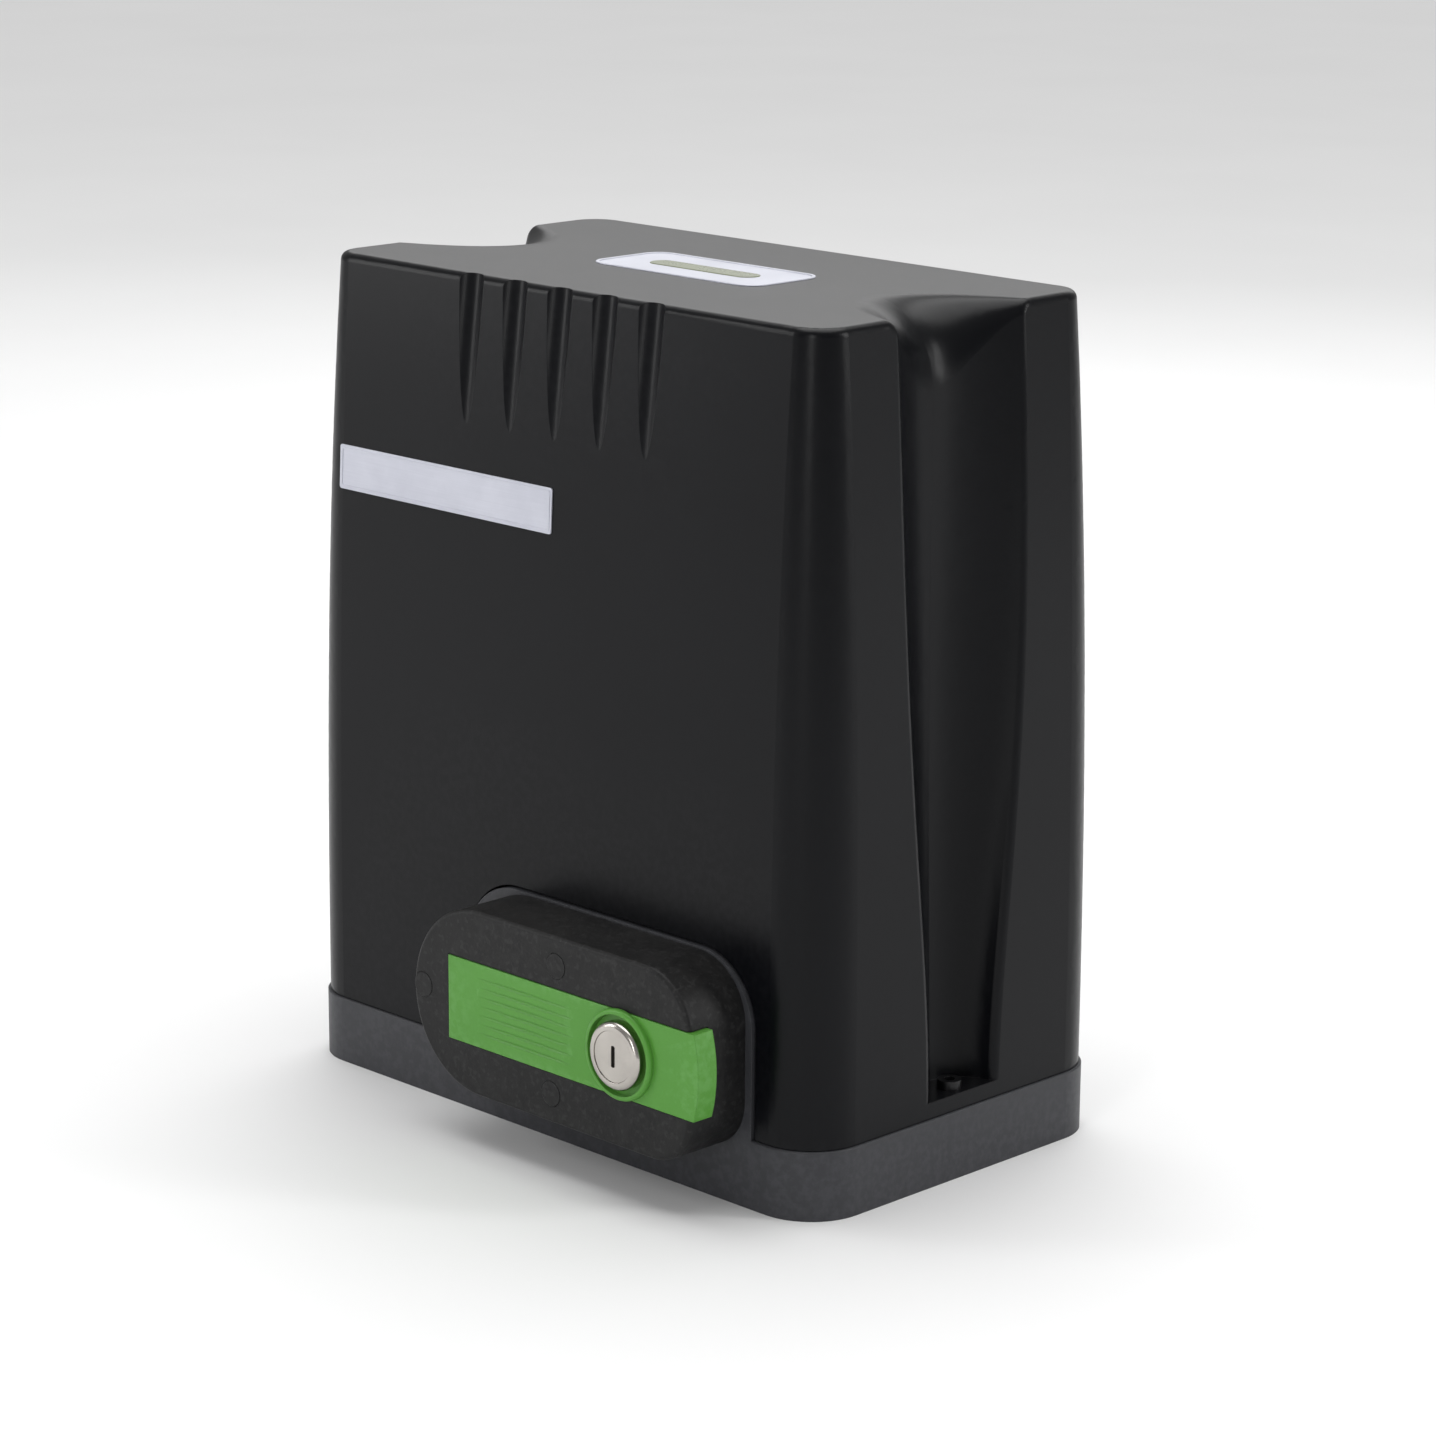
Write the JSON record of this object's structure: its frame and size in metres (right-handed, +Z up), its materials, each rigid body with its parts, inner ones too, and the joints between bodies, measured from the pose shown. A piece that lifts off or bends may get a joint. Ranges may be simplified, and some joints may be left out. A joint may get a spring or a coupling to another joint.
{
  "type": "sliding gate motor",
  "caption": "Sliding gate motor: crowned hood on a cast base, worm gearbox and electric motor inside, rack pinion behind, keyed manual-release lever in front.",
  "frame": {"origin": "centre of the base's footprint and of its four anchor slots, on the underside", "axes": "+Z up, +Y out of the back along the drive pinion's axis, -Y the manual-release side, +X to the right seen from the release side"},
  "size_m": [0.2626, 0.2238, 0.3004],
  "materials": {
    "base_paint": "dark grey fine powder coat, low sheen",
    "hood_plastic": "near-black satin moulded plastic",
    "textured_plastic": "black moulded plastic with a fine spark texture",
    "green_plastic": "mid green satin plastic",
    "nickel": "satin nickel plate",
    "bare_plate": "bare satin silver plate",
    "seal_rubber": "matt black rubber",
    "zinc_steel": "zinc-plated steel",
    "black_steel": "black oxide on steel",
    "ground_steel": "ground steel",
    "cast_aluminium": "as-cast aluminium",
    "bronze": "machined bronze",
    "motor_paint": "black enamel",
    "lamination": "varnished laminated steel",
    "copper_winding": "enamelled copper winding",
    "board_laminate": "green board laminate",
    "terminal_plastic": "moulded component plastic",
    "capacitor_can": "drawn aluminium can"
  },
  "bodies": {
    "frame": {"base_casting": "base_paint", "cable_grommet": "seal_rubber", "cover": "hood_plastic", "cover_screws": "black_steel", "front_label": "bare_plate", "top_badge": "bare_plate", "release_housing": "textured_plastic", "housing_screws": "zinc_steel", "housing_plugs": "textured_plastic", "release_hinge_pin": "ground_steel", "gearbox_housing": "cast_aluminium", "gearbox_cover": "cast_aluminium", "gearbox_cover_screws": "zinc_steel", "gearbox_bolts": "zinc_steel", "output_bush_front": "bronze", "output_bush_rear": "bronze", "output_oil_seal": "seal_rubber", "worm_bearing_lower": "ground_steel", "worm_bearing_upper": "ground_steel", "motor_bearing_top": "ground_steel", "motor_can": "motor_paint", "motor_top_bell": "cast_aluminium", "stator": "lamination", "winding_lower": "copper_winding", "winding_upper": "copper_winding", "mounting_plate": "zinc_steel", "control_board": "board_laminate", "board_posts": "ground_steel", "terminal_blocks": "terminal_plastic", "relays": "terminal_plastic", "fuse_holder": "terminal_plastic", "run_capacitor": "capacitor_can", "capacitor_clamp": "zinc_steel", "transformer": "lamination", "limit_sensor": "terminal_plastic"},
    "armature": {"worm_shaft": "ground_steel", "rotor": "lamination"},
    "output": {"worm_wheel": "bronze", "output_shaft": "ground_steel", "drive_pinion": "zinc_steel", "pinion_key": "ground_steel", "pinion_washer": "zinc_steel", "pinion_screw": "zinc_steel"},
    "lever": {"release_lever": "green_plastic", "lock_body": "nickel", "lock_nut": "nickel"},
    "lock_core": {"lock_plug": "nickel", "lock_cam": "zinc_steel"},
    "plunger": {"release_plunger": "ground_steel"}
  },
  "joints": [
    {"name": "armature_spin", "type": "hinge", "parent": "frame", "child": "armature", "pos_m": [0.047, 0, 0.1], "axis": [0, 0, 1], "continuous": true},
    {"name": "output_spin", "type": "hinge", "parent": "frame", "child": "output", "pos_m": [-0.005, 0, 0.053], "axis": [0, 1, 0], "continuous": true},
    {"name": "lever_hinge", "type": "hinge", "parent": "frame", "child": "lever", "pos_m": [-0.014, -0.096, 0.0526], "axis": [0, 0, -1], "range_deg": [0, 90]},
    {"name": "lock_turn", "type": "hinge", "parent": "lever", "child": "lock_core", "pos_m": [0.067, -0.09, 0.0526], "axis": [0, -1, 0], "range_deg": [0, 90]},
    {"name": "plunger_slide", "type": "slide", "parent": "frame", "child": "plunger", "axis": [0, -1, 0], "range_m": [0, 0.0035]}
  ],
  "couplings": [
    {"joint": "output_spin", "follows": "armature_spin", "ratio": 0.025},
    {"joint": "plunger_slide", "follows": "lever_hinge", "m_per_rad": 0.002228}
  ]
}
